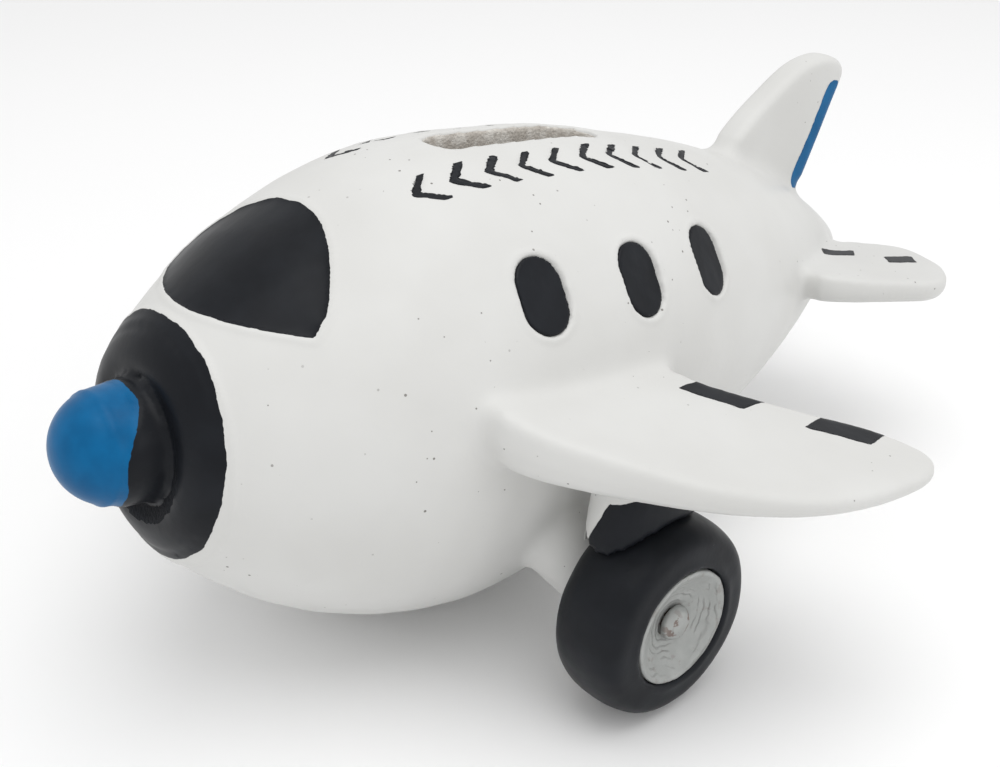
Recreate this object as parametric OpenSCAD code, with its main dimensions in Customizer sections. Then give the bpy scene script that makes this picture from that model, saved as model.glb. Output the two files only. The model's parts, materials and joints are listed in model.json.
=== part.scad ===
// Toy airplane money box: a plump hollow cast body with painted windshield, windows,
// nose cowl and nose ball, thick wings and tail, two fat wheels on stub legs,
// a coin slot on top and a soft stopper in the belly.
// Millimetres. Nose toward -Y, port wing toward +X, +Z up, standing on Z = 0.

/* [Stance] */
// Nose-up angle of the body axis on its wheels and tail foot, degrees
stand_pitch = 9.8; // [0:0.1:15]
// Height of the body datum above the ground
stand_height = 41; // [41:0.1:50]

/* [Body] */
// Wall thickness of the hollow casting
wall = 5; // [3.5:0.5:6]
// Coin slot length along the body
slot_length = 36.5; // [30:0.5:40]
// Coin slot width
slot_width = 8; // [4.5:0.1:9]
// Radius of the belly hole that the stopper closes
bore_radius = 10; // [8:0.5:11]
// Radius of the nose ball
ball_radius = 8.7; // [7:0.1:9]
// Depth of the painted insets in the skin
inset_depth = 1.2; // [0.8:0.1:2]

/* [Wings and tail] */
// Height of the wing's flat top above the body datum
wing_top = 11.4; // [8:0.1:14]
// Wing thickness at the root
wing_root_thickness = 9.6; // [6:0.1:12]
// Wing thickness at the tip
wing_tip_thickness = 3.3; // [3:0.1:8]
// Downward slope of the wings toward their tips, degrees
wing_droop = 7.4; // [0:0.1:12]
// Tailplane thickness
tailplane_thickness = 6.9; // [4:0.1:8]
// Fin thickness
fin_thickness = 6; // [4:0.1:9]

/* [Wheels] */
// Outer radius of the tyre
tyre_radius = 16.6; // [14:0.1:17]
// Width of the tyre
tyre_width = 13.6; // [10:0.1:15]
// Radius of the silver hub
hub_radius = 9.8; // [8:0.1:11]
// Radius of the axle pin
pin_radius = 1.75; // [1:0.05:3]
// Running clearance round the axle pin
pin_clearance = 0.06; // [0.02:0.01:0.1]
// Gap between a wheel and the fixed castings beside it
wheel_gap = 0.45; // [0.35:0.05:1]

/* [Hidden] */
$fn = 64;

white = [0.93, 0.92, 0.91];
black = [0.12, 0.13, 0.15];
blue = [0.08, 0.45, 0.70];
silver = [0.66, 0.66, 0.66];

// Body stations from the nose ring to the tail end:
// place along the body, half height, height of the centre, half width
stations = [
  [-48.9, 17.8, -2.2, 16.9], [-34.1, 28.9, -1.8, 27.8], [-18.4, 36.3, -0.9, 34.5],
  [-3.5, 39.3, 0.3, 37.4], [11.4, 38.7, 1.9, 36.8], [26.2, 37.1, 3.8, 35.3],
  [41.1, 33.6, 5.7, 31.9], [55.9, 29.9, 7.4, 28.4], [70.8, 25.3, 9.0, 24.0],
  [85.7, 19.3, 10.3, 18.3], [100.5, 12.1, 11.4, 11.5], [112, 5.4, 12.0, 5.2],
  [115.6, 2.6, 12.1, 2.5]
];
last = len(stations) - 1;
around = 48;

// Smooth curve through four neighbours
function curve(a, b, c, d, t) = 0.5 * (2 * b + (c - a) * t
  + (2 * a - 5 * b + 4 * c - d) * t * t + (3 * b - a - 3 * c + d) * t * t * t);
// Station at a fractional index
function station(u) = let (i = min(floor(u), last - 1), t = u - i,
  b = stations[i], c = stations[i + 1],
  a = i > 0 ? stations[i - 1] : 2 * b - c,
  d = i < last - 1 ? stations[i + 2] : 2 * c - b)
  [for (k = [0:3]) curve(a[k], b[k], c[k], d[k], t)];
// Fractional index of a place along the body, by halving
function index_at(y, lo = 0, hi = last, n = 24) = n == 0 ? (lo + hi) / 2
  : let (m = (lo + hi) / 2) station(m)[0] < y ? index_at(y, m, hi, n - 1) : index_at(y, lo, m, n - 1);
function half_width(y, z) = let (s = station(index_at(y))) s[3] * sqrt(max(0, 1 - pow((z - s[2]) / s[1], 2)));
function top_at(y, x = 0) = let (s = station(index_at(y))) s[2] + s[1] * sqrt(max(0, 1 - pow(x / s[3], 2)));
function bottom_at(y) = let (s = station(index_at(y))) s[2] - s[1];

// Triangles between equal rings of points, closed by flat ends
function ring_faces(rings, m) = concat(
  [[for (j = [m - 1:-1:0]) j]],
  [for (i = [0:rings - 2], j = [0:m - 1], k = [0:1]) let (a = i * m + j, b = i * m + (j + 1) % m)
    k == 0 ? [a, b, a + m] : [b, b + m, a + m]],
  [[for (j = [0:m - 1]) (rings - 1) * m + j]]);

// Solid body skin between two stations, moved inward by a depth
module skin(depth = 0, from = 0, to = last, step = 0.5) {
  us = [for (u = [from:step:to + 0.001]) u];
  points = [for (u = us, j = [0:around - 1]) let (s = station(u), a = 360 * j / around)
    [(s[3] - depth) * cos(a), s[0], s[2] + (s[1] - depth) * sin(a)]];
  polyhedron(points, ring_faces(len(us), around), convexity = 6);
}

// Place a thing that is drawn in the body's own axes on its wheels
module stand() {
  translate([0, rest_shift, stand_height]) rotate([-stand_pitch, 0, 0]) children();
}
rest_shift = -26.39;

module both(side) {
  mirror([side < 0 ? 1 : 0, 0, 0]) children();
}

// ---- slab shapes: an outline with rounded rims ----
function wrap(list, i) = list[(i + len(list)) % len(list)];
// Closed smooth outline through its control points
function smooth(list, n = 3) = [for (i = [0:len(list) - 1], k = [0:n - 1])
  curve(wrap(list, i - 1), wrap(list, i), wrap(list, i + 1), wrap(list, i + 2), k / n)];
// Outline drawn inward by a distance
function inward(list, d) = [for (i = [0:len(list) - 1])
  let (t = wrap(list, i + 1) - wrap(list, i - 1)) list[i] + d * [-t[1], t[0]] / norm(t)];
// Rim steps of a wing: share of the thickness, and how far in from the outline.
// The upper rim is crisp and the lower one is well rounded
wing_rim = [[0, 1], [0.07, 0.6], [0.22, 0.22], [0.48, 0], [0.8, 0], [0.93, 0.1], [1, 0.36]];
// Rim steps of the fin, alike on both faces
fin_rim = [[0, 0.8], [0.08, 0.35], [0.25, 0.05], [0.5, 0], [0.75, 0.05], [0.92, 0.35], [1, 0.8]];

// Slab with a flat top and an underside that slopes with X; edge_in is the rim rounding
module slab(outline, top, thick_a, thick_b, x_a, x_b, edge_in, rim = wing_rim) {
  m = len(outline);
  rings = [for (r = rim) let (o = inward(outline, edge_in * r[1]))
    [for (p = o) let (k = min(1.2, max(-0.5, (p[0] - x_a) / (x_b - x_a))),
      t = thick_a + (thick_b - thick_a) * k) [p[0], p[1], top - t * (1 - r[0])]]];
  polyhedron([for (o = rings, p = o) p], slab_faces(len(rim), m), convexity = 6);
}
function slab_faces(rings, m) = concat(
  [[for (j = [0:m - 1]) j]],
  [for (i = [0:rings - 2], j = [0:m - 1], k = [0:1]) let (a = i * m + j, b = i * m + (j + 1) % m)
    k == 0 ? [a, a + m, b] : [b, a + m, b + m]],
  [[for (j = [m - 1:-1:0]) (rings - 1) * m + j]]);

// ---- wings, drawn level and then sloped about their root ----
wing_edge = [
  [34.5, -16.2], [39, -16.2], [45, -14.4], [51, -10.8], [57, -6.6], [63.4, -1.4], [69, 5.4],
  [73.4, 13.4], [75.6, 22], [76.2, 31], [75.6, 38.8], [72.8, 43], [68, 42.8], [62, 39.6],
  [55.9, 34.4], [49.4, 29.2], [43.4, 24.6], [39, 22.8], [35.5, 22.6]
];
wing_marks = [
  [[42.2, 17.6], [50.6, 23], [50.2, 31.6], [41.6, 26.2]],
  [[58.8, 29], [66.6, 35.2], [65, 43], [57.8, 37]]
];
module droop() {
  translate([35, 0, wing_top]) rotate([0, wing_droop, 0]) translate([-35, 0, -wing_top]) children();
}
function wing_level(x, share) = wing_top - tan(wing_droop) * (x - 35)
  - (wing_root_thickness + (wing_tip_thickness - wing_root_thickness) * (x - 36) / 40) * (1 - share);
// Where the wing meets the body skin
function root_x(y, share, x = 35, n = 3) = n == 0 ? x
  : root_x(y, share, half_width(y, wing_level(x, share)) + 0.03, n - 1);
function open_smooth(list, n = 3) = let (q = len(list) - 1) concat(
  [for (i = [0:q - 1], k = [0:n - 1]) curve(list[max(i - 1, 0)], list[i], list[i + 1],
    list[min(i + 2, q)], k / n)], [list[q]]);
wing_path = open_smooth(wing_edge);
root_steps = 8;
// One layer of the wing: the inset edge from the leading to the trailing root, then the root
function wing_ring(share, inset) = let (q = len(wing_path) - 1,
  edge = [for (i = [0:q]) let (t = wing_path[min(i + 1, q)] - wing_path[max(i - 1, 0)])
    wing_path[i] + inset * [-t[1], t[0]] / norm(t)])
  concat([for (i = [0:q]) let (y = edge[i][1], x = i == 0 || i == q ? root_x(y, share) : edge[i][0])
      [x, y, wing_level(x, share)]],
    [for (i = [1:root_steps - 1]) let (y = edge[q][1] + (edge[0][1] - edge[q][1]) * i / root_steps,
      x = root_x(y, share)) [x, y, wing_level(x, share)]]);
module wing_slab() {
  rings = [for (r = wing_rim) wing_ring(r[0], 3 * r[1])];
  polyhedron([for (o = rings, p = o) p], slab_faces(len(rings), len(rings[0])), convexity = 6);
}
module wing_mark_prism(k) {
  droop() translate([0, 0, wing_top - inset_depth]) linear_extrude(inset_depth + 1)
    polygon(wing_marks[k]);
}
module wing(side) {
  stand() both(side) difference() {
    wing_slab();
    wing_mark_prism(0);
    wing_mark_prism(1);
  }
}
module wing_mark(side, k) {
  stand() both(side) intersection() {
    wing_slab();
    wing_mark_prism(k);
  }
}

// ---- tailplane ----
tail_outline = [
  [6, 80], [14, 77], [21, 76.2], [26, 77.2], [30.2, 81.4], [33.4, 87], [36.1, 93], [37.8, 98],
  [37, 103.6], [32.2, 110.2], [27, 113.2], [21, 114.8], [16.6, 112.6], [13, 107.6], [9, 103], [4, 102]
];
tail_top = 16.6;
tail_marks = [
  [[17, 90.2], [19.4, 97], [17.2, 99.8], [15.3, 92.3]],
  [[25.5, 100.8], [27.7, 106.8], [24.9, 109.6], [22.9, 103.1]]
];
module tail_slab() {
  slab(smooth(tail_outline), tail_top, tailplane_thickness, tailplane_thickness * 0.6, 12, 40, 2);
}
module tail_mark_prism(k) {
  translate([0, 0, tail_top - inset_depth]) linear_extrude(inset_depth + 1) polygon(tail_marks[k]);
}
module tailplane(side) {
  stand() both(side) difference() {
    tail_slab();
    skin(0, 7, last);
    tail_mark_prism(0);
    tail_mark_prism(1);
  }
}
module tailplane_mark(side, k) {
  stand() both(side) intersection() {
    tail_slab();
    tail_mark_prism(k);
  }
}

// ---- fin: outline in the length and height plane ----
fin_outline = [
  [80, 14], [94, 15], [97, 24], [98.9, 29.3], [100.6, 34.3], [102.8, 40.9], [104.6, 46.4],
  [105.4, 49.8], [103.6, 52.3], [98.6, 53.2], [92.6, 51.9], [87.8, 49.3], [82.8, 45.6], [78.1, 41.9],
  [73.9, 37.7], [70.5, 33.3], [63.5, 24.5]
];
stripe_outline = [
  [94.4, 27], [96.4, 26.6], [98.2, 29.6], [100.9, 37.4], [103, 43.8], [103.7, 47], [102.6, 48.2],
  [100.4, 47.6], [99.2, 43.8], [96.4, 35.8], [94, 29.4]
];
// Turn a drawing with thickness along Z into the upright middle plane
module upright() {
  multmatrix([[0, 0, 1, 0], [1, 0, 0, 0], [0, 1, 0, 0]]) children();
}
module fin_slab() {
  upright() slab(smooth(fin_outline), fin_thickness / 2, fin_thickness, fin_thickness, 0, 200, 1.6, fin_rim);
}
module stripe_prism(side) {
  upright() translate([0, 0, side > 0 ? fin_thickness / 2 - inset_depth : -fin_thickness / 2 - 1])
    linear_extrude(inset_depth + 1) polygon(smooth(stripe_outline));
}
module tail_fin() {
  stand() difference() {
    fin_slab();
    skin(0, 7, last);
    stripe_prism(1);
    stripe_prism(-1);
  }
}
module fin_stripe(side) {
  stand() intersection() {
    fin_slab();
    stripe_prism(side);
  }
}

// ---- windows: flat-sided ovals set along the skin's own slope ----
window_places = [-2.1, 19.5, 39.6];
window_z = 24.3;
window_width = 8.8;
window_height = 12.4;
module window_at(side, k, proud) {
  y = window_places[k];
  s = station(index_at(y));
  x = half_width(y, window_z);
  tilt = atan2((window_z - s[2]) / (s[1] * s[1]), x / (s[3] * s[3]));
  yaw = atan((station(index_at(y + 1))[3] - station(index_at(y - 1))[3]) / 2);
  both(side) translate([x, y, window_z]) rotate([0, 0, -yaw]) rotate([0, 90 - tilt, 0])
    translate([0, 0, -inset_depth - 0.6]) linear_extrude(inset_depth + proud)
      window_shape();
}
module window_shape() {
  r = window_width / 2;
  d = (window_height - window_width) / 2;
  for (s = [-1, 1]) translate([s * d, 0]) circle(r);
  square([2 * d, window_width], center = true);
}
module window(side, k) {
  stand() window_at(side, k, 0);
}

// ---- windshield ----
screen_outline = [
  [-18.6, -35.4], [-17.8, -33], [-16.6, -31.8], [-14.7, -30.5], [-10.9, -28.3], [-6, -26.6],
  [0, -25.9], [6, -26.6], [10.9, -28.3], [14.7, -30.5], [16.6, -31.8], [17.8, -33], [18.6, -35.4],
  [18.4, -39], [14.6, -43], [8, -45.4], [0, -46.2], [-8, -45.4], [-14.6, -43], [-18.4, -39]
];
screen_low = 18.4;
module screen_prism() {
  translate([0, 0, screen_low]) linear_extrude(22) polygon(screen_outline);
}
module screen() {
  stand() intersection() {
    difference() {
      skin(0.25, 0, 2);
      skin(inset_depth, 0, 2);
    }
    screen_prism();
  }
}

// ---- engraved flank motif: a row of ten plain chevrons on each side ----
chevron_count = 10;
chevron_first = -12;
chevron_step = 7;
module chevrons(side, low, high) {
  for (k = [0:chevron_count - 1]) {
    y = chevron_first + k * chevron_step;
    s = station(index_at(y));
    x = 11.4 * s[3] / 37;
    z = top_at(y, x);
    lean = atan(x / s[3] / sqrt(1 - pow(x / s[3], 2)) * s[1] / s[3]);
    slope = atan((top_at(y + 1, x) - top_at(y - 1, x)) / 2);
    both(side) translate([x, y, z]) rotate([slope, 0, 0]) rotate([0, lean, 0])
      translate([0, 0, low]) linear_extrude(high - low)
        polygon([[-3.5, 1.6], [0, -2.2], [3.5, 1.6], [3.5, 3.4], [0, -0.4], [-3.5, 3.4]]);
  }
}
module flank_marks(side) {
  stand() chevrons(side, -0.9, -0.35);
}

// ---- shell ----
slot_middle = 16;
bore_place = 44;
bore_tilt = 20;
module slot_cut() {
  for (s = [-1, 1]) translate([0, slot_middle + s * (slot_length - slot_width) / 2, 20])
    cylinder(r = slot_width / 2, h = 40);
  translate([-slot_width / 2, slot_middle - (slot_length - slot_width) / 2, 20])
    cube([slot_width, slot_length - slot_width, 40]);
}
// Belly hole frame: origin on the skin, +Z pointing out of the body
module at_bore() {
  translate([0, bore_place, bottom_at(bore_place)]) rotate([180 + bore_tilt, 0, 0]) children();
}
module fuselage() {
  stand() difference() {
    skin(0);
    skin(wall, 1, 10);
    slot_cut();
    at_bore() {
      translate([0, 0, -12]) cylinder(r = bore_radius, h = 30);
      translate([0, 0, -3.1]) cylinder(r = bore_radius + 2.5, h = 12);
    }
    difference() {
      screen_prism();
      skin(inset_depth, 0, 2);
    }
    for (side = [-1, 1]) {
      for (k = [0:2]) window_at(side, k, 4);
      chevrons(side, -0.9, 3);
    }
  }
}
// Soft plug: a shaft in the hole and a thin flange in the recess
module stopper() {
  stand() at_bore() difference() {
    union() {
      translate([0, 0, -9.5]) cylinder(r = bore_radius - 0.06, h = 6.75);
      translate([0, 0, -2.75]) cylinder(r = bore_radius + 2.1, h = 1.6);
    }
    translate([0, 0, -10]) cylinder(r = bore_radius - 2.5, h = 5.5);
    for (s = [-1, 1]) translate([s * 6, 0, -1.8]) cylinder(r = 1.8, h = 2);
  }
}

// ---- nose ----
nose = stations[0];
ball_out = 6.6;
ball_rise = 0.7;
module at_nose() {
  translate([0, nose[0], nose[2]]) rotate([90, 0, 0]) children();
}
module at_ball() {
  translate([0, ball_rise, 0]) children();
}
// Shallow dome on the front of the body, with a groove and a collar that holds the ball
module cowl() {
  stand() at_nose() difference() {
    union() {
      rotate_extrude() polygon([
        [0, 0], [16.8, 0], [16.5, 0.5], [15.8, 1.2], [14.5, 1.9], [12.9, 2.5], [11.4, 2.6], [10.4, 2.2],
        [9.4, 1.6], [0, 1.6]
      ]);
      at_ball() cylinder(r1 = ball_radius + 0.3, r2 = ball_radius + 0.15, h = ball_out);
    }
    at_ball() translate([0, 0, ball_out]) sphere(ball_radius);
  }
}
module ball() {
  stand() at_nose() at_ball() difference() {
    translate([0, 0, ball_out]) sphere(ball_radius);
    translate([0, 0, -20]) cylinder(r = 20, h = 20);
  }
}

// ---- wheels ----
wheel = [49.6, 10.95, -22.85];
module at_wheel(side) {
  both(side) translate(wheel) rotate([0, 90, 0]) children();
}
half = tyre_width / 2;
rounding = 2.2;
// Cross-section of the tyre: a fat rounded ring with a raised lip round the hub opening
function bulge(a) = let (c = cos(a), s = sin(a), m = (tyre_radius + hub_radius) / 2,
  h = (tyre_radius - hub_radius) / 2) [m + h * sign(s) * pow(abs(s), 2 / rounding),
  half * sign(c) * pow(abs(c), 2 / rounding)];
tyre_profile = concat([for (a = [0:10:250]) bulge(a)], [[hub_radius, -half + 2.6],
  [hub_radius, half - 0.3], [hub_radius + 0.2, half + 0.3], [hub_radius + 0.5, half + 0.45],
  [hub_radius + 0.9, half + 0.3], [hub_radius + 1.7, half + 0.1]]);
module tyre(side) {
  stand() at_wheel(side) rotate_extrude() polygon(tyre_profile);
}
module hub(side) {
  bore = pin_radius + pin_clearance;
  stand() at_wheel(side) rotate_extrude() polygon([
    [bore, -half + 0.1], [5, -half + 0.1], [6, -half + 1.8], [hub_radius - 0.1, -half + 2.8],
    [hub_radius - 0.1, half + 0.05], [hub_radius - 0.5, half + 0.2], [hub_radius - 1.1, half - 0.1],
    [hub_radius - 2.6, half - 1.3], [5, half - 2.3], [bore, half - 2.8]
  ]);
}
// Pin pressed into the leg, with a domed head in front of the hub
module axle_pin(side) {
  stand() at_wheel(side) rotate_extrude() polygon([
    [0, -10.6], [pin_radius, -10.6], [pin_radius, half - 2.4], [3, half - 2.3], [2.9, half - 1.4],
    [2.2, half - 0.6], [1.1, half - 0.2], [0, half - 0.1]
  ]);
}
leg_root = [24, 0.4, -10.3];
leg_end = wheel - [half + wheel_gap, 0, 0];
module leg(side) {
  v = leg_end - leg_root;
  stand() both(side) difference() {
    union() {
      translate(leg_root) rotate([0, 0, atan2(v[1], v[0])])
        rotate([0, atan2(norm([v[0], v[1]]), v[2]), 0]) cylinder(r = 6.9, h = norm(v) + 6);
      translate(leg_end - [6, 0, 0]) rotate([0, 90, 0]) cylinder(r = 6.5, h = 6);
    }
    skin(0, 2, 6);
    translate([leg_end[0], -30, -60]) cube([30, 80, 80]);
    translate(wheel - [11, 0, 0]) rotate([0, 90, 0]) translate([0, 0, 0.4])
      cylinder(r = pin_radius, h = 20);
  }
}
// Block that hangs from the wing behind the tyre's crown
module pylon(side) {
  stand() both(side) difference() {
    translate([0, 0, -12]) linear_extrude(16) polygon(smooth([
      [40, 6], [42.5, 0.4], [47, -1.6], [51, 0.6], [52.6, 7], [52, 14], [48.5, 18.6], [44, 18.2],
      [41, 13]
    ]));
    wing_slab();
    translate(wheel) rotate([0, 90, 0]) translate([0, 0, -half - wheel_gap])
      cylinder(r = tyre_radius + wheel_gap, h = tyre_width + 20);
    skin(0, 2, 6);
  }
}
// Rear foot: a short stub that carries the tail end of the body
foot_place = 61.5;
module foot() {
  difference() {
    translate([0, rest_shift + foot_place, 0]) {
      cylinder(r = 4.6, h = 1);
      translate([0, 0, 1]) cylinder(r1 = 5.2, r2 = 7, h = 16);
    }
    stand() skin(0, 6, 9);
  }
}

// ---- drawing ----
color(white) fuselage();  // fuselage_shell
color(black) cowl();  // nose_cowl
color(blue) ball();  // nose_ball
color(black) screen();  // windshield
color(black) window(1, 0);  // window_port_front
color(black) window(1, 1);  // window_port_middle
color(black) window(1, 2);  // window_port_rear
color(black) window(-1, 0);  // window_starboard_front
color(black) window(-1, 1);  // window_starboard_middle
color(black) window(-1, 2);  // window_starboard_rear
color(black) flank_marks(1);  // flank_marks_port
color(black) flank_marks(-1);  // flank_marks_starboard
color(white) wing(1);  // wing_port
color(white) wing(-1);  // wing_starboard
color(black) wing_mark(1, 0);  // wing_mark_port_inner
color(black) wing_mark(1, 1);  // wing_mark_port_outer
color(black) wing_mark(-1, 0);  // wing_mark_starboard_inner
color(black) wing_mark(-1, 1);  // wing_mark_starboard_outer
color(white) tailplane(1);  // tailplane_port
color(white) tailplane(-1);  // tailplane_starboard
color(black) tailplane_mark(1, 0);  // tailplane_mark_port_inner
color(black) tailplane_mark(1, 1);  // tailplane_mark_port_outer
color(black) tailplane_mark(-1, 0);  // tailplane_mark_starboard_inner
color(black) tailplane_mark(-1, 1);  // tailplane_mark_starboard_outer
color(white) tail_fin();  // fin
color(blue) fin_stripe(1);  // fin_stripe_port
color(blue) fin_stripe(-1);  // fin_stripe_starboard
color(white) leg(1);  // leg_port
color(white) leg(-1);  // leg_starboard
color(white) pylon(1);  // pylon_port
color(white) pylon(-1);  // pylon_starboard
color(silver) axle_pin(1);  // axle_pin_port
color(silver) axle_pin(-1);  // axle_pin_starboard
color(white) foot();  // tail_foot
color(black) tyre(1);  // tyre_port
color(black) tyre(-1);  // tyre_starboard
color(silver) hub(1);  // hub_port
color(silver) hub(-1);  // hub_starboard
color(black) stopper();  // belly_stopper
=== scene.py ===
"""Toy airplane money box: hand-painted cast-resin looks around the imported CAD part.

Metres in the row frame: nose toward -Y, port wing toward +X, +Z up, ground at Z = 0.
The white parts are one casting in the real object, so copies of their CAD meshes are
fused by a voxel remesh, softened, and cut back into one piece per CAD node. Paint is a
distance to the painted areas, stored on the vertices, which the materials turn into
hand-brushed edges.
"""

import json
import math

import bmesh
import bpy
import numpy as np
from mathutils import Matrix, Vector, noise
from mathutils.bvhtree import BVHTree


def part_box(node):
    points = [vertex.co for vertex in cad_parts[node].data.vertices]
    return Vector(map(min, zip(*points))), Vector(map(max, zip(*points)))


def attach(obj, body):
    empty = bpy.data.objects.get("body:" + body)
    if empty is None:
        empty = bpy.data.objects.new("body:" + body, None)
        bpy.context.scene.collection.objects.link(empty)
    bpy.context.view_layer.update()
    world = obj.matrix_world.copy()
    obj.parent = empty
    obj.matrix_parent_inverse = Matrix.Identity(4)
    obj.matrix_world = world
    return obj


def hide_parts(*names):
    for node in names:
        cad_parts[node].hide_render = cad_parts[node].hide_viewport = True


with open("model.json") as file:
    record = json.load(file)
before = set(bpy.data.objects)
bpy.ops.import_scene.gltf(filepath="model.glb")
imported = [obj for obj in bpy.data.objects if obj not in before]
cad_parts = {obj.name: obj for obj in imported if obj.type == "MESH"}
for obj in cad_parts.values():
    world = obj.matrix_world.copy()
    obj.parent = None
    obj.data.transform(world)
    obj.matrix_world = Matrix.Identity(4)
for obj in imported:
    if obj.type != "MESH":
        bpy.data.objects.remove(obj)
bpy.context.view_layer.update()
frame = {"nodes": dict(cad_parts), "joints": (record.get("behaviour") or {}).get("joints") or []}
NODES = frame["nodes"]
JOINTS = {j["name"]: j for j in frame["joints"]}
MM = 0.001

SIDES = ("port", "starboard")
WINDOWS = [f"window_{s}_{place}" for s in SIDES for place in ("front", "middle", "rear")]


def both(*stems):
    return [f"{stem}_{side}" for stem in stems for side in SIDES]


def marks(stem):
    return [f"{stem}_mark_{side}_{place}" for side in SIDES for place in ("inner", "outer")]


WHITE_GROUPS = {
    "body": ["fuselage_shell"],
    "wings": both("wing"),
    "legs": both("leg"),
    "pylons": both("pylon"),
    "tail": both("tailplane"),
    "fin": ["fin"],
    "foot": ["tail_foot"],
}
WHITE = [n for names in WHITE_GROUPS.values() for n in names]
OTHER_WHITE = [n for n in WHITE if n != "fuselage_shell"]
FILMS = marks("wing") + marks("tailplane") + both("fin_stripe") + ["windshield"]
INSETS = WINDOWS + both("flank_marks")
NOSE = ["nose_cowl", "nose_ball"]
CAST = WHITE + NOSE + FILMS

# Casting, in millimetres unless a name says otherwise
FAR = 50.0                                # stands for "not near"
VOXEL = 0.55                              # of the fused casting
FILLET_REACH = 3.6                        # how far a fillet spreads from a joint
FILLET_ROUNDS = 90
SKIN_ROUNDS = 60                          # evens out the facets of the open body skin
COLLAR_ROUNDS = 18                        # the foot of the nose collar
SOFTEN_ROUNDS = 5                         # everything
WOBBLE = ((0.16, 21.0), (0.05, 7.0))      # hand-cast unevenness: height, width
CAP_DEPTH = 0.9                           # a cut piece is closed this far below the skin
FILM_LIFT, FILM_DEPTH = 0.03, 0.5         # a film of paint over the skin

# Ridges pressed up in the skin: distance from the painted part, width, height
LIP_AT, LIP_WIDTH, LIP_HEIGHT = 0.75, 0.45, 0.22        # round windows and windshield
RIDGE_AT, RIDGE_WIDTH, RIDGE_HEIGHT = 2.9, 0.55, 0.22   # behind the nose paint

# Coin slot: the block of space round it
SLOT_MIDDLE, SLOT_REACH, SLOT_DEPTH = -4.0, 22.0, 16.0
SLOT_BARE, SLOT_KEPT = 4.8, 6.5           # half widths left unpainted, left unsmoothed
TAIL_DROP = 14.0                          # the body's middle line sinks toward the tail

# Paint
SEARCH = 2.5                              # how far paint looks for the part it covers
PAINT_LAP = 0.24                          # paint laps this far over an inset's rim
ENGRAVED_LAP = 0.05                       # and this far out of an engraved mark
STRIPE_LAP = 0.1                          # and this far round the fin stripe
COWL_LAP = 1.5                            # the nose paint runs back over the body's edge,
COWL_LAP_UP = 1.3                         # and further back over its top
ON_BALL = 1.8                             # the ball's skin and collar are this near to it
BALL_LINE = 2.0                           # the blue stops this far before the ball's middle,
BALL_LINE_UP = 6.4                        # and runs this much further back over the top
BALL_OVERLAP = 1.2                        # black paint lies this far under the blue
COLLAR_STEP = 0.28                        # the collar stands proud of the ball it holds
PYLON_EDGE, PYLON_LEAN = 0.2, 0.42        # the black on a pylon: start and outward lean
PYLON_WHITE = 1.3                         # a strip under the wing stays white
PYLON_REACH = 7.5                         # the black ends this far from the tyre

# Voxel size, smoothing rounds and unevenness (height, width) of the pieces cast alone
MOULDS = {
    "inset": (0.30, 3, ((0.10, 6.0), (0.03, 2.0))),
    "tyre": (0.55, 8, ((0.22, 11.0), (0.05, 3.0))),
    "hub": (0.32, 3, ((0.10, 3.0), (0.04, 1.2))),
    "axle_pin": (0.30, 3, ((0.10, 2.0),)),
    "stopper": (0.45, 3, ((0.04, 5.0),)),
}
SEEDS = {"inset": 3.0, "tyre": 41.0, "hub": 47.0, "axle_pin": 53.0, "stopper": 61.0}
GROUND_FADE = 2.0                         # unevenness fades out this near to the ground

# Paint and material colours: each pair is mixed by noise
WHITE_PAINT = ((0.634, 0.632, 0.615), (0.672, 0.672, 0.657))
BLACK_PAINT = ((0.0075, 0.0086, 0.0112), (0.0115, 0.0132, 0.0168))
BLUE_PAINT = ((0.0, 0.090, 0.235), (0.001, 0.120, 0.300))
SILVER_PAINT = ((0.32, 0.33, 0.32), (0.46, 0.47, 0.46))
RESIN = ((0.56, 0.52, 0.47), (0.78, 0.75, 0.70))
RUBBER = ((0.018, 0.018, 0.019), (0.040, 0.040, 0.041))
PAPER = ((0.93, 0.93, 0.93), (0.95, 0.95, 0.95))
PINHOLE = (0.24, 0.23, 0.215)
DUST = (0.45, 0.45, 0.45)
BRUSH_MARK = (0.22, 0.22, 0.21)
# brown of the patches on the silver, strongest round the axle's middle
BROWN_PATCH = (0.19, 0.135, 0.115)

# Studio
CAMERA_AT = Vector((0.161127, -0.15129, 0.149237))
CAMERA_TO = Vector((-0.65437, 0.58718, -0.47646))
CAMERA_LENS = 49.04
SENSOR_WIDTH = 36
WORLD_STRENGTH = 0.80
LIGHTS = (("key", (0.11, -0.04, 0.66), 0.60, 1.75),     # name, place, size, power
          ("side", (0.70, 0.20, 0.36), 0.40, 0.4))
LIGHT_TARGET = Vector((0, 0, 0.04))
FLOOR_REACH = 3.0


# ---------------------------------------------------------------- mesh helpers
def arrays(mesh):
    """The vertices of a mesh as rows of coordinates."""
    co = np.empty(len(mesh.vertices) * 3, np.float32)
    mesh.vertices.foreach_get("co", co)
    return co.reshape(-1, 3)


def put(mesh, co):
    """Move the vertices of a mesh to these rows of coordinates."""
    mesh.vertices.foreach_set("co", co.astype(np.float32).ravel())
    mesh.update()


def new_object(name, mesh):
    obj = bpy.data.objects.new(name, mesh)
    bpy.context.scene.collection.objects.link(obj)
    return obj


def joined_copy(name, names):
    """One new object holding copies of these CAD nodes' meshes."""
    bm = bmesh.new()
    for n in names:
        bm.from_mesh(NODES[n].data)
    bmesh.ops.remove_doubles(bm, verts=bm.verts, dist=1e-7)
    mesh = bpy.data.meshes.new(name)
    bm.to_mesh(mesh)
    bm.free()
    return new_object(name, mesh)


def apply_modifiers(obj):
    """Turn an object's modifiers into plain mesh."""
    depsgraph = bpy.context.evaluated_depsgraph_get()
    mesh = bpy.data.meshes.new_from_object(obj.evaluated_get(depsgraph))
    old = obj.data
    obj.modifiers.clear()
    obj.data = mesh
    bpy.data.meshes.remove(old)


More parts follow.
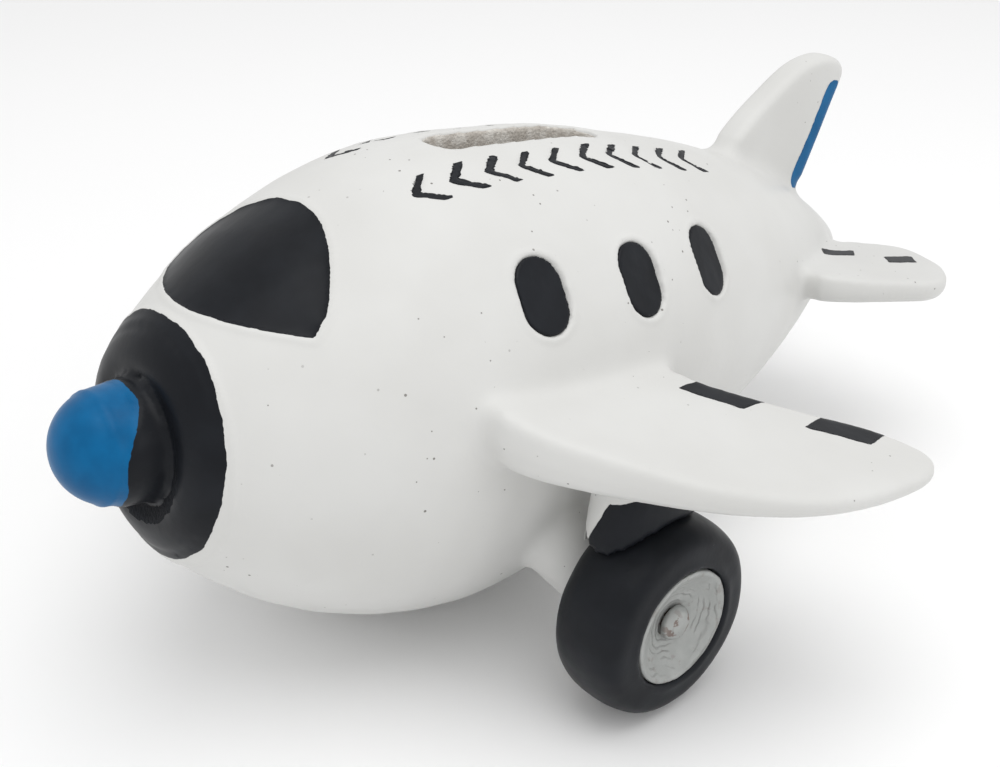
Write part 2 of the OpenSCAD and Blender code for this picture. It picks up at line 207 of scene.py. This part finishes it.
def remesh(obj, voxel):
    m = obj.modifiers.new("voxels", "REMESH")
    m.mode = "VOXEL"
    m.voxel_size = voxel * MM
    m.use_smooth_shade = True
    apply_modifiers(obj)


def soften(obj, rounds, weights=None):
    """Smooth an object, everywhere or by a weight of 0 to 1 for each vertex."""
    if weights is not None:
        group = obj.vertex_groups.new(name="soften")
        levels = np.round(weights * 8) / 8
        for level in np.unique(levels):
            if level > 0:
                group.add(np.flatnonzero(levels == level).tolist(), float(level), "REPLACE")
    m = obj.modifiers.new("soften", "SMOOTH")
    m.factor = 0.5
    m.iterations = rounds
    if weights is not None:
        m.vertex_group = group.name
    apply_modifiers(obj)
    obj.vertex_groups.clear()


def bvh_of(names):
    """Search tree over CAD nodes, with the node index of each triangle."""
    points, tris, owner = [], [], []
    for k, n in enumerate(names):
        mesh = NODES[n].data
        mesh.calc_loop_triangles()
        base = len(points)
        points += [v.co.copy() for v in mesh.vertices]
        tris += [tuple(base + i for i in t.vertices) for t in mesh.loop_triangles]
        owner += [k] * len(mesh.loop_triangles)
    return BVHTree.FromPolygons(points, tris), owner


def distances(co, names, reach):
    """Distance in mm from each point to the nearest of these nodes, or FAR."""
    tree, _ = bvh_of(names)
    out = np.full(len(co), FAR, np.float32)
    lo = np.min([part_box(n)[0] for n in names], 0) - reach * MM
    hi = np.max([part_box(n)[1] for n in names], 0) + reach * MM
    for i in np.flatnonzero(((co > lo) & (co < hi)).all(1)):
        d = tree.find_nearest(co[i], reach * MM)[3]
        if d is not None:
            out[i] = d / MM
    return out


def wobble(co, layers, seed=0.0):
    """Smooth random height in mm at each point."""
    shift = Vector((seed, seed * 1.7, seed * 0.6))
    out = np.zeros(len(co), np.float32)
    for height, width in layers:
        scale = 1 / (width * MM)
        out += [height * noise.noise(Vector(p) * scale + shift) for p in co]
    return out


def ridge(d, at, width, height):
    """Height of a rounded ridge that runs at one distance from something."""
    return height * np.exp(-(((d - at) / width) ** 2))


def normals_of(mesh):
    n = np.empty(len(mesh.vertices) * 3, np.float32)
    mesh.vertex_normals.foreach_get("vector", n)
    return n.reshape(-1, 3)


def set_attribute(mesh, name, values):
    layer = mesh.attributes.get(name) or mesh.attributes.new(name, "FLOAT", "POINT")
    layer.data.foreach_set("value", values.astype(np.float32))


def raise_skin(mesh, co, normals, height):
    """Move each vertex out by a height in mm, and less near the ground."""
    low = np.clip(co[:, 2] / (GROUND_FADE * MM), 0, 1)
    put(mesh, co + normals * (height * low * MM)[:, None])


def finish_piece(obj, body, material, node):
    obj.data.materials.clear()
    obj.data.materials.append(material)
    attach(obj, body)
    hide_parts(node)


# ---------------------------------------------------------------- the casting
def fillet_weights(co):
    """1 where two different parts of the casting meet, fading out along both."""
    near = np.stack([distances(co, names, FILLET_REACH) for names in WHITE_GROUPS.values()])
    second = np.sort(near, 0)[1]
    return np.clip(1.15 - second / FILLET_REACH, 0, 1) ** 0.8


def skin_weights(co):
    """1 on the open skin of the body, 0 at its painted edges, recesses and slot."""
    skin = distances(co, ["fuselage_shell"], 3)
    edges = distances(co, INSETS + NOSE + ["windshield"], 3)
    others = distances(co, OTHER_WHITE, 3)
    open_skin = np.where(skin < 0.5, np.clip((np.minimum(edges, others) - 0.8) / 1.6, 0, 1), 0)
    screen = distances(co, ["windshield"], 3)
    glass = np.where(screen < 0.25, np.clip((skin - 0.45) / 0.4, 0, 1), 0)
    return np.where(slot_zone(co, SLOT_KEPT), 0, np.maximum(open_skin, glass))


def collar_weights(co):
    """1 round the foot of the collar, where it meets the nose dome."""
    centre, radius = ball_sphere()
    away = (np.linalg.norm(co - centre, axis=1) - radius) / MM
    return np.clip((away - 0.5) / 0.7, 0, 1) * np.clip((5.5 - away) / 1.5, 0, 1)


def slot_zone(co, half_width):
    """True in the block of space round the coin slot."""
    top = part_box("fuselage_shell")[1].z
    return ((np.abs(co[:, 0]) < half_width * MM) & (co[:, 2] > top - SLOT_DEPTH * MM)
            & (np.abs(co[:, 1] - SLOT_MIDDLE * MM) < SLOT_REACH * MM))


def body_axis_height(y):
    """Height of the body's middle line at a place along it."""
    nose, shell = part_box("nose_cowl"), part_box("fuselage_shell")
    front = ((nose[0].y + nose[1].y) / 2, (nose[0].z + nose[1].z) / 2)
    tail = (shell[1].y, front[1] - TAIL_DROP * MM)
    t = (y - front[0]) / (tail[0] - front[0])
    return front[1] + (tail[1] - front[1]) * t


def bare_resin(co, normals):
    """1 inside the coin slot and the cavity, where the paint didn't reach."""
    radial = np.stack([co[:, 0], np.zeros(len(co)), co[:, 2] - body_axis_height(co[:, 1])], 1)
    radial /= np.linalg.norm(radial, axis=1)[:, None] + 1e-9
    facing = (normals * radial).sum(1)
    shade = np.where(slot_zone(co, SLOT_BARE), np.clip((0.62 - facing) / 0.45, 0, 1), 0)
    others = distances(co, OTHER_WHITE, 3)
    return np.where((facing < -0.2) & (others > 1.5), 1, shade)


def paint_distances(co):
    """Signed distances in mm to the black and blue paint: negative is painted."""
    bare = np.minimum(distances(co, WHITE, SEARCH), 1.0)

    def past(names, lap, reach=SEARCH):
        return distances(co, names, reach) - bare - lap

    edge = ball_edge(co)
    on_ball = distances(co, ["nose_ball"], SEARCH) < ON_BALL
    careful = np.minimum(past(["windshield"], PAINT_LAP),
                         past(both("flank_marks"), ENGRAVED_LAP))
    black = np.minimum(past(marks("wing") + marks("tailplane"), PAINT_LAP), 2 * careful)
    black = np.minimum(black, past(NOSE, cowl_lap(co), 6))
    black = np.minimum(black, pylon_paint(co))
    black = np.where(on_ball, np.maximum(black, -edge - BALL_OVERLAP), black)
    return black, np.where(on_ball, edge, past(both("fin_stripe"), STRIPE_LAP))


def cowl_lap(co):
    """How far the nose paint runs back over the body, in mm: more over the top."""
    low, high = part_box("nose_cowl")
    rise = (co[:, 2] - (low.z + high.z) / 2) / (high.z - low.z) * 2
    return COWL_LAP + COWL_LAP_UP * np.clip(rise, -0.2, 1)


def pylon_paint(co):
    """Signed distance in mm to the black low on the outboard side of each pylon."""
    above = (co[:, 2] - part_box("pylon_port")[0].z) / MM
    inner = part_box("tyre_port")[0].x / MM
    outboard = np.abs(co[:, 0]) / MM - inner + PYLON_EDGE - PYLON_LEAN * above
    wings, tyres = distances(co, both("wing"), 6), distances(co, both("tyre"), 8)
    return np.maximum(-outboard, np.maximum(PYLON_WHITE - wings, tyres - PYLON_REACH))


def ball_sphere():
    """Centre and radius of the nose ball, whose back is cut off."""
    low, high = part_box("nose_ball")
    radius = (high.x - low.x) / 2
    return np.array((0, low.y + radius, (low.z + high.z) / 2)), radius


def ball_edge(co):
    """Distance in mm behind the line where the ball's blue paint ends."""
    centre, radius = ball_sphere()
    up = np.clip((co[:, 2] - centre[2]) / radius, 0, 0.9) ** 1.5
    line = centre[1] + (BALL_LINE_UP * up - BALL_LINE) * MM
    return (co[:, 1] - line) / MM


def casting():
    """The white parts, nose and films fused into one skin, with its paint attributes."""
    obj = joined_copy("casting", CAST)
    remesh(obj, VOXEL)
    co = arrays(obj.data)
    soften(obj, FILLET_ROUNDS, fillet_weights(co))
    soften(obj, SKIN_ROUNDS, skin_weights(arrays(obj.data)))
    soften(obj, COLLAR_ROUNDS, collar_weights(arrays(obj.data)))
    co = arrays(obj.data)
    black, blue = paint_distances(co)
    soften(obj, SOFTEN_ROUNDS)
    co, normals = arrays(obj.data), normals_of(obj.data)
    inset = distances(co, ["windshield"] + WINDOWS, SEARCH)
    cowl = distances(co, ["nose_cowl"], 6)
    raw = bare_resin(co, normals)
    height = wobble(co, WOBBLE) * (1 - raw)
    height += ridge(inset, LIP_AT, LIP_WIDTH, LIP_HEIGHT)
    height += ridge(cowl, RIDGE_AT, RIDGE_WIDTH, RIDGE_HEIGHT)
    on_ball = distances(co, ["nose_ball"], SEARCH) < ON_BALL
    height += np.where(on_ball, COLLAR_STEP * np.clip(ball_edge(co) / 0.5 + 0.5, 0, 1), 0)
    raise_skin(obj.data, co, normals, height)
    for name, values in (("black", black), ("blue", blue), ("raw", raw)):
        set_attribute(obj.data, name, values)
    return obj


def face_owners(mesh, names):
    """The index of the CAD node that lies nearest to each face."""
    tree, owner = bvh_of(names)
    return np.array([owner[tree.find_nearest(p.center)[2]] for p in mesh.polygons])


def cut_piece(source, name, keep, lift=0.0, depth=0.0):
    """A new object from some faces of the fused casting, keeping the fused normals."""
    mesh = source.data
    corners = np.empty(len(mesh.loops), np.int64)
    mesh.loops.foreach_get("vertex_index", corners)
    starts = np.empty(len(mesh.polygons), np.int64)
    mesh.polygons.foreach_get("loop_start", starts)
    quads = corners[starts[keep][:, None] + np.arange(4)]
    used, inverse = np.unique(quads, return_inverse=True)
    quads = inverse.reshape(-1, 4)
    co, normals = arrays(mesh)[used], normals_of(mesh)[used]
    top = co + normals * lift * MM
    close = thicken if depth else capped
    quads, points, normals, used = close(quads, top, normals, used, depth or CAP_DEPTH)
    out = bpy.data.meshes.new(name)
    out.from_pydata(points.tolist(), [], [list(f) for f in quads])
    out.shade_smooth()
    for attribute in ("black", "blue", "raw"):
        values = np.empty(len(mesh.vertices), np.float32)
        mesh.attributes[attribute].data.foreach_get("value", values)
        set_attribute(out, attribute, values[used])
    out.normals_split_custom_set_from_vertices(normals.tolist())
    return new_object(name, out)


def open_rim(quads):
    """The directed edges that only one face uses."""
    edges = np.concatenate([quads[:, [k, (k + 1) % 4]] for k in range(4)])
    seen = {tuple(e) for e in edges.tolist()}
    return np.array([e for e in seen if (e[1], e[0]) not in seen])


def thicken(quads, top, normals, used, depth):
    """Close a patch of skin into a thin solid below its surface."""
    n, rim = len(top), open_rim(quads)
    walls = np.stack([rim[:, 1], rim[:, 0], rim[:, 0] + n, rim[:, 1] + n], 1)
    quads = np.concatenate([quads, quads[:, ::-1] + n, walls])
    points = np.concatenate([top, top - normals * depth * MM])
    return quads, points, np.concatenate([normals, -normals]), np.concatenate([used, used])


def capped(quads, top, normals, used, depth):
    """Close each open rim with a wall that goes below the skin and a fan across it."""
    rim = open_rim(quads)
    if not len(rim):
        return quads, top, normals, used
    n, ends = len(top), np.unique(rim)
    sunk = {v: n + k for k, v in enumerate(ends.tolist())}
    points = np.concatenate([top, top[ends] - normals[ends] * depth * MM])
    normals = np.concatenate([normals, -normals[ends]])
    used = np.concatenate([used, used[ends]])
    faces = quads.tolist()
    faces += [[b, a, sunk[a], sunk[b]] for a, b in rim.tolist()]
    for loop in loops_of(rim):
        middle = len(points)
        ring = [sunk[v] for v in loop]
        points = np.concatenate([points, points[ring].mean(0)[None]])
        normals = np.concatenate([normals, normals[ring].mean(0)[None]])
        used = np.concatenate([used, used[ring[:1]]])
        faces += [[ring[(k + 1) % len(ring)], ring[k], middle] for k in range(len(ring))]
    return faces, points, normals, used


def loops_of(rim):
    """Vertex loops along the open rim."""
    ahead = {}
    for a, b in rim.tolist():
        ahead.setdefault(a, []).append(b)
    loops = []
    while ahead:
        start = next(iter(ahead))
        loop, at = [], start
        while at in ahead:
            loop.append(at)
            step = ahead[at].pop()
            if not ahead[at]:
                del ahead[at]
            at = step
        loops.append(loop)
    return loops


def film_host(film):
    """The white node that a thin film of paint lies on."""
    if film == "windshield":
        return "fuselage_shell"
    stem, _, rest = film.partition("_")
    return stem if stem == "fin" else f"{stem}_{rest.split('_')[1]}"


def casting_pieces(fused, material):
    """Cut the fused skin into one piece for each CAD node, and lay the films on it."""
    owners = face_owners(fused.data, CAST)
    host = owners.copy()
    for n in FILMS:
        host[owners == CAST.index(n)] = CAST.index(film_host(n))
    for n in WHITE + NOSE:
        piece = cut_piece(fused, "cast_" + n, host == CAST.index(n))
        finish_piece(piece, "airframe", material, n)
    for n in FILMS:
        piece = cut_piece(fused, "paint_" + n, owners == CAST.index(n), FILM_LIFT, FILM_DEPTH)
        finish_piece(piece, "airframe", material, n)
    bpy.data.objects.remove(fused)


# ---------------------------------------------------------------- other pieces
def moulded(node, name, mould, seed, body, material):
    """A softened, slightly uneven copy of one CAD node."""
    voxel, rounds, layers = MOULDS[mould]
    obj = joined_copy(name, [node])
    remesh(obj, voxel)
    soften(obj, rounds)
    co, normals = arrays(obj.data), normals_of(obj.data)
    raise_skin(obj.data, co, normals, wobble(co, layers, seed))
    obj.data.shade_smooth()
    finish_piece(obj, body, material, node)


# ---------------------------------------------------------------- materials
class Shade:
    """A small builder for one Principled material."""

    def __init__(self, name):
        self.material = bpy.data.materials.new(name)
        self.material.use_nodes = True
        self.tree = self.material.node_tree
        self.shader = self.tree.nodes["Principled BSDF"]
        self.place = self.node("ShaderNodeTexCoord").outputs["Object"]

    def node(self, kind, **settings):
        n = self.tree.nodes.new(kind)
        for key, value in settings.items():
            setattr(n, key, value)
        return n

    def wire(self, value, socket):
        if isinstance(value, bpy.types.NodeSocket):
            self.tree.links.new(value, socket)
        else:
            socket.default_value = value

    def math(self, operation, a, b=0.0):
        n = self.node("ShaderNodeMath", operation=operation)
        self.wire(a, n.inputs[0])
        self.wire(b, n.inputs[1])
        return n.outputs[0]

    def plus(self, a, b):
        return self.math("ADD", a, b)

    def minus(self, a, b):
        return self.math("SUBTRACT", a, b)

    def times(self, a, b):
        return self.math("MULTIPLY", a, b)

    def most(self, a, b):
        return self.math("MAXIMUM", a, b)

    def attribute(self, name):
        return self.node("ShaderNodeAttribute", attribute_name=name).outputs["Fac"]

    def noise(self, width, detail=2.0, rough=0.5):
        """Noise between 0 and 1 whose blots are about width mm wide."""
        n = self.node("ShaderNodeTexNoise")
        self.wire(self.place, n.inputs["Vector"])
        n.inputs["Scale"].default_value = 1 / (width * MM)
        n.inputs["Detail"].default_value = detail
        n.inputs["Roughness"].default_value = rough
        return n.outputs["Fac"]

    def specks(self, spacing, radius, share):
        """1 in small dots up to radius mm, in a share of the cells spacing mm wide."""
        n = self.node("ShaderNodeTexVoronoi")
        self.wire(self.place, n.inputs["Vector"])
        n.inputs["Scale"].default_value = 1 / (spacing * MM)
        size = self.node("ShaderNodeSeparateColor")
        self.wire(n.outputs["Color"], size.inputs[0])
        limit = self.times(size.outputs[0], radius / spacing)
        dot = self.math("LESS_THAN", n.outputs["Distance"], limit)
        chosen = self.math("LESS_THAN", size.outputs[1], share)
        return self.times(dot, chosen)

    def step(self, value, low, high):
        """Smooth step from 0 at low to 1 at high."""
        n = self.node("ShaderNodeMapRange", interpolation_type="SMOOTHSTEP")
        self.wire(value, n.inputs["Value"])
        n.inputs["From Min"].default_value = low
        n.inputs["From Max"].default_value = high
        return n.outputs["Result"]

    def mix(self, factor, a, b):
        n = self.node("ShaderNodeMix", data_type="RGBA")
        self.wire(factor, n.inputs[0])
        for value, socket in ((a, n.inputs[6]), (b, n.inputs[7])):
            self.wire(value if isinstance(value, bpy.types.NodeSocket) else (*value, 1), socket)
        return n.outputs[2]

    def bump(self, height, depth):
        """Bump from a height of 0 to 1 that stands for depth mm."""
        n = self.node("ShaderNodeBump")
        n.inputs["Strength"].default_value = 1.0
        n.inputs["Distance"].default_value = depth * MM
        self.wire(height, n.inputs["Height"])
        if self.shader.inputs["Normal"].links:
            self.wire(self.shader.inputs["Normal"].links[0].from_socket, n.inputs["Normal"])
        self.wire(n.outputs["Normal"], self.shader.inputs["Normal"])

    def set(self, **values):
        for key, value in values.items():
            self.wire(value, self.shader.inputs[key.replace("_", " ")])
        return self.material


def brushed_edge(s, distance):
    """1 where painted, with an edge that wanders as a brush does."""
    slow = s.times(s.minus(s.noise(4.2, 2.0), 0.5), 0.95)
    quick = s.times(s.minus(s.noise(0.8, 2.0), 0.5), 0.24)
    edge = s.plus(distance, s.plus(slow, quick))
    return s.minus(1.0, s.step(edge, -0.03, 0.05))


def two_tone(s, colours, width):
    return s.mix(s.step(s.noise(width, 3.0), 0.3, 0.7), colours[0], colours[1])


def cast_material():
    """White, black and blue paint over resin, placed by the casting's attributes."""
    s = Shade("cast_paint")
    white = two_tone(s, WHITE_PAINT, 26.0)
    clusters = s.step(s.noise(22.0, 1.0), 0.42, 0.58)
    pits = s.times(s.specks(1.8, 0.22, 0.55), clusters)
    pits = s.most(pits, s.specks(5.5, 0.24, 0.4))
    white = s.mix(pits, white, PINHOLE)
    ragged = s.times(s.noise(1.4), 0.35)
    raw = s.step(s.plus(s.attribute("raw"), ragged), 0.5, 0.72)
    resin = s.mix(s.step(s.noise(2.2, 4.0), 0.38, 0.66), *RESIN)
    colour = s.mix(raw, white, resin)
    black = brushed_edge(s, s.attribute("black"))
    dust = s.times(s.specks(6.0, 0.16, 0.25), 0.7)
    colour = s.mix(black, colour, s.mix(dust, two_tone(s, BLACK_PAINT, 8.0), DUST))
    blue = brushed_edge(s, s.attribute("blue"))
    colour = s.mix(blue, colour, two_tone(s, BLUE_PAINT, 6.0))
    s.bump(s.most(black, blue), 0.05)
    s.bump(s.minus(s.noise(1.6, 3.0), s.times(pits, 3.0)), 0.022)
    s.bump(s.times(s.noise(0.5, 3.0), raw), 0.25)
    rough = s.plus(0.30, s.times(s.noise(9.0), 0.14))
    rough = s.plus(rough, s.times(raw, 0.4))
    return s.set(Base_Color=colour, Roughness=rough, Specular_IOR_Level=0.14)


def black_material(name, width, dust_share):
    """Satin black paint with a little dust."""
    s = Shade(name)
    dust = s.times(s.specks(5.0, 0.17, dust_share), 0.7)
    colour = s.mix(dust, two_tone(s, BLACK_PAINT, width), DUST)
    s.bump(s.noise(1.3, 3.0), 0.03)
    s.bump(s.noise(9.0, 1.0), 0.10)
    rough = s.plus(0.33, s.times(s.noise(5.0), 0.18))
    return s.set(Base_Color=colour, Roughness=rough, Specular_IOR_Level=0.16)


def silver_material(name, centre):
    """Brushed-on silver with swirls round the axle and brown patches, strongest near its middle.
    """
    s = Shade(name)
    off = s.node("ShaderNodeVectorMath", operation="SUBTRACT")
    s.wire(s.place, off.inputs[0])
    off.inputs[1].default_value = centre
    parts = s.node("ShaderNodeSeparateXYZ")
    s.wire(off.outputs[0], parts.inputs[0])
    y, z = parts.outputs[1], parts.outputs[2]
    radius = s.math("SQRT", s.plus(s.times(y, y), s.times(z, z)))
    drift = s.times(s.noise(6.0, 3.0), 3.0 * MM)
    turns = s.times(s.plus(radius, drift), 2 * math.pi / (1.0 * MM))
    rings = s.times(s.plus(s.math("SINE", turns), 1.0), 0.5)
    rings = s.math("POWER", rings, 5.0)
    rings = s.times(rings, s.step(s.noise(5.0, 3.0), 0.46, 0.60))
    # brown patches: faint ones over all the silver, strong ones within about 3 mm of the axle's
    # middle
    brown_patches = s.step(s.noise(1.7, 4.0, 0.6), 0.60, 0.67)
    near = s.minus(1.0, s.step(radius, 2.2 * MM, 3.4 * MM))
    patch = s.times(near, s.step(s.noise(1.5, 3.0), 0.54, 0.60))
    brown_patches = s.most(s.times(brown_patches, 0.25), s.times(patch, 0.85))
    silver = s.mix(s.noise(2.5, 4.0), *SILVER_PAINT)
    silver = s.mix(s.times(rings, 0.4), silver, BRUSH_MARK)
    colour = s.mix(brown_patches, silver, BROWN_PATCH)
    s.bump(rings, 0.12)
    s.bump(s.noise(0.7, 3.0), 0.07)
    rough = s.plus(0.42, s.times(s.noise(1.5), 0.2))
    return s.set(Base_Color=colour, Roughness=rough, Metallic=0.4)


def stopper_material():
    s = Shade("stopper_rubber")
    colour = s.mix(s.noise(3.0, 3.0), *RUBBER)
    s.bump(s.noise(0.5, 3.0), 0.05)
    rough = s.plus(0.5, s.times(s.noise(2.0), 0.2))
    return s.set(Base_Color=colour, Roughness=rough)


# ---------------------------------------------------------------- stage
def camera():
    data = bpy.data.cameras.new("camera")
    data.lens = CAMERA_LENS
    data.sensor_width = SENSOR_WIDTH
    data.clip_start = 0.01
    obj = bpy.data.objects.new("camera", data)
    obj.location = CAMERA_AT
    obj.rotation_euler = CAMERA_TO.to_track_quat("-Z", "Y").to_euler()
    bpy.context.scene.collection.objects.link(obj)
    bpy.context.scene.camera = obj


def area_light(name, place, size, power):
    data = bpy.data.lights.new(name, "AREA")
    data.shape = "DISK"
    data.size = size
    data.energy = power
    obj = bpy.data.objects.new(name, data)
    obj.location = place
    obj.rotation_euler = (LIGHT_TARGET - Vector(place)).to_track_quat("-Z", "Y").to_euler()
    bpy.context.scene.collection.objects.link(obj)


def floor():
    mesh = bpy.data.meshes.new("floor")
    r = FLOOR_REACH
    mesh.from_pydata([(-r, -r, 0), (r, -r, 0), (r, r, 0), (-r, r, 0)], [], [(0, 1, 2, 3)])
    obj = new_object("floor", mesh)
    s = Shade("floor_paper")
    colour = s.mix(s.noise(300.0), *PAPER)
    obj.data.materials.append(s.set(Base_Color=colour, Roughness=0.9))


def studio():
    scene = bpy.context.scene
    world = bpy.data.worlds.new("studio")
    world.use_nodes = True
    background = world.node_tree.nodes["Background"]
    background.inputs["Color"].default_value = (1, 1, 1, 1)
    background.inputs["Strength"].default_value = WORLD_STRENGTH
    scene.world = world
    scene.view_settings.view_transform = "Standard"
    for light in LIGHTS:
        area_light(*light)
    floor()


# ---------------------------------------------------------------- the object
def wheel(side, tyre_paint):
    """Tyre, hub and axle pin of one side; the pin stays on the airframe."""
    body = f"wheel_{side}"
    silver = silver_material(f"silver_{side}", JOINTS[f"wheel_{side}_spin"]["pos_m"])
    for part, rides, material, slot in (("tyre", body, tyre_paint, "tyre_paint"),
                                        ("hub", body, silver, "silver_paint"),
                                        ("axle_pin", "airframe", silver, "silver_paint")):
        node = f"{part}_{side}"
        moulded(node, "cast_" + node, part, SEEDS[part], rides, material)


def build():
    cast = cast_material()
    black = black_material("black_paint", 7.0, 0.22)
    casting_pieces(casting(), cast)
    for k, n in enumerate(INSETS):
        moulded(n, "inset_" + n, "inset", SEEDS["inset"] + k, "airframe", black)
    tyre_paint = black_material("tyre_paint", 9.0, 0.3)
    for side in SIDES:
        wheel(side, tyre_paint)
    moulded("belly_stopper", "soft_belly_stopper", "stopper", SEEDS["stopper"],
            "stopper", stopper_material())


build()
studio()
camera()
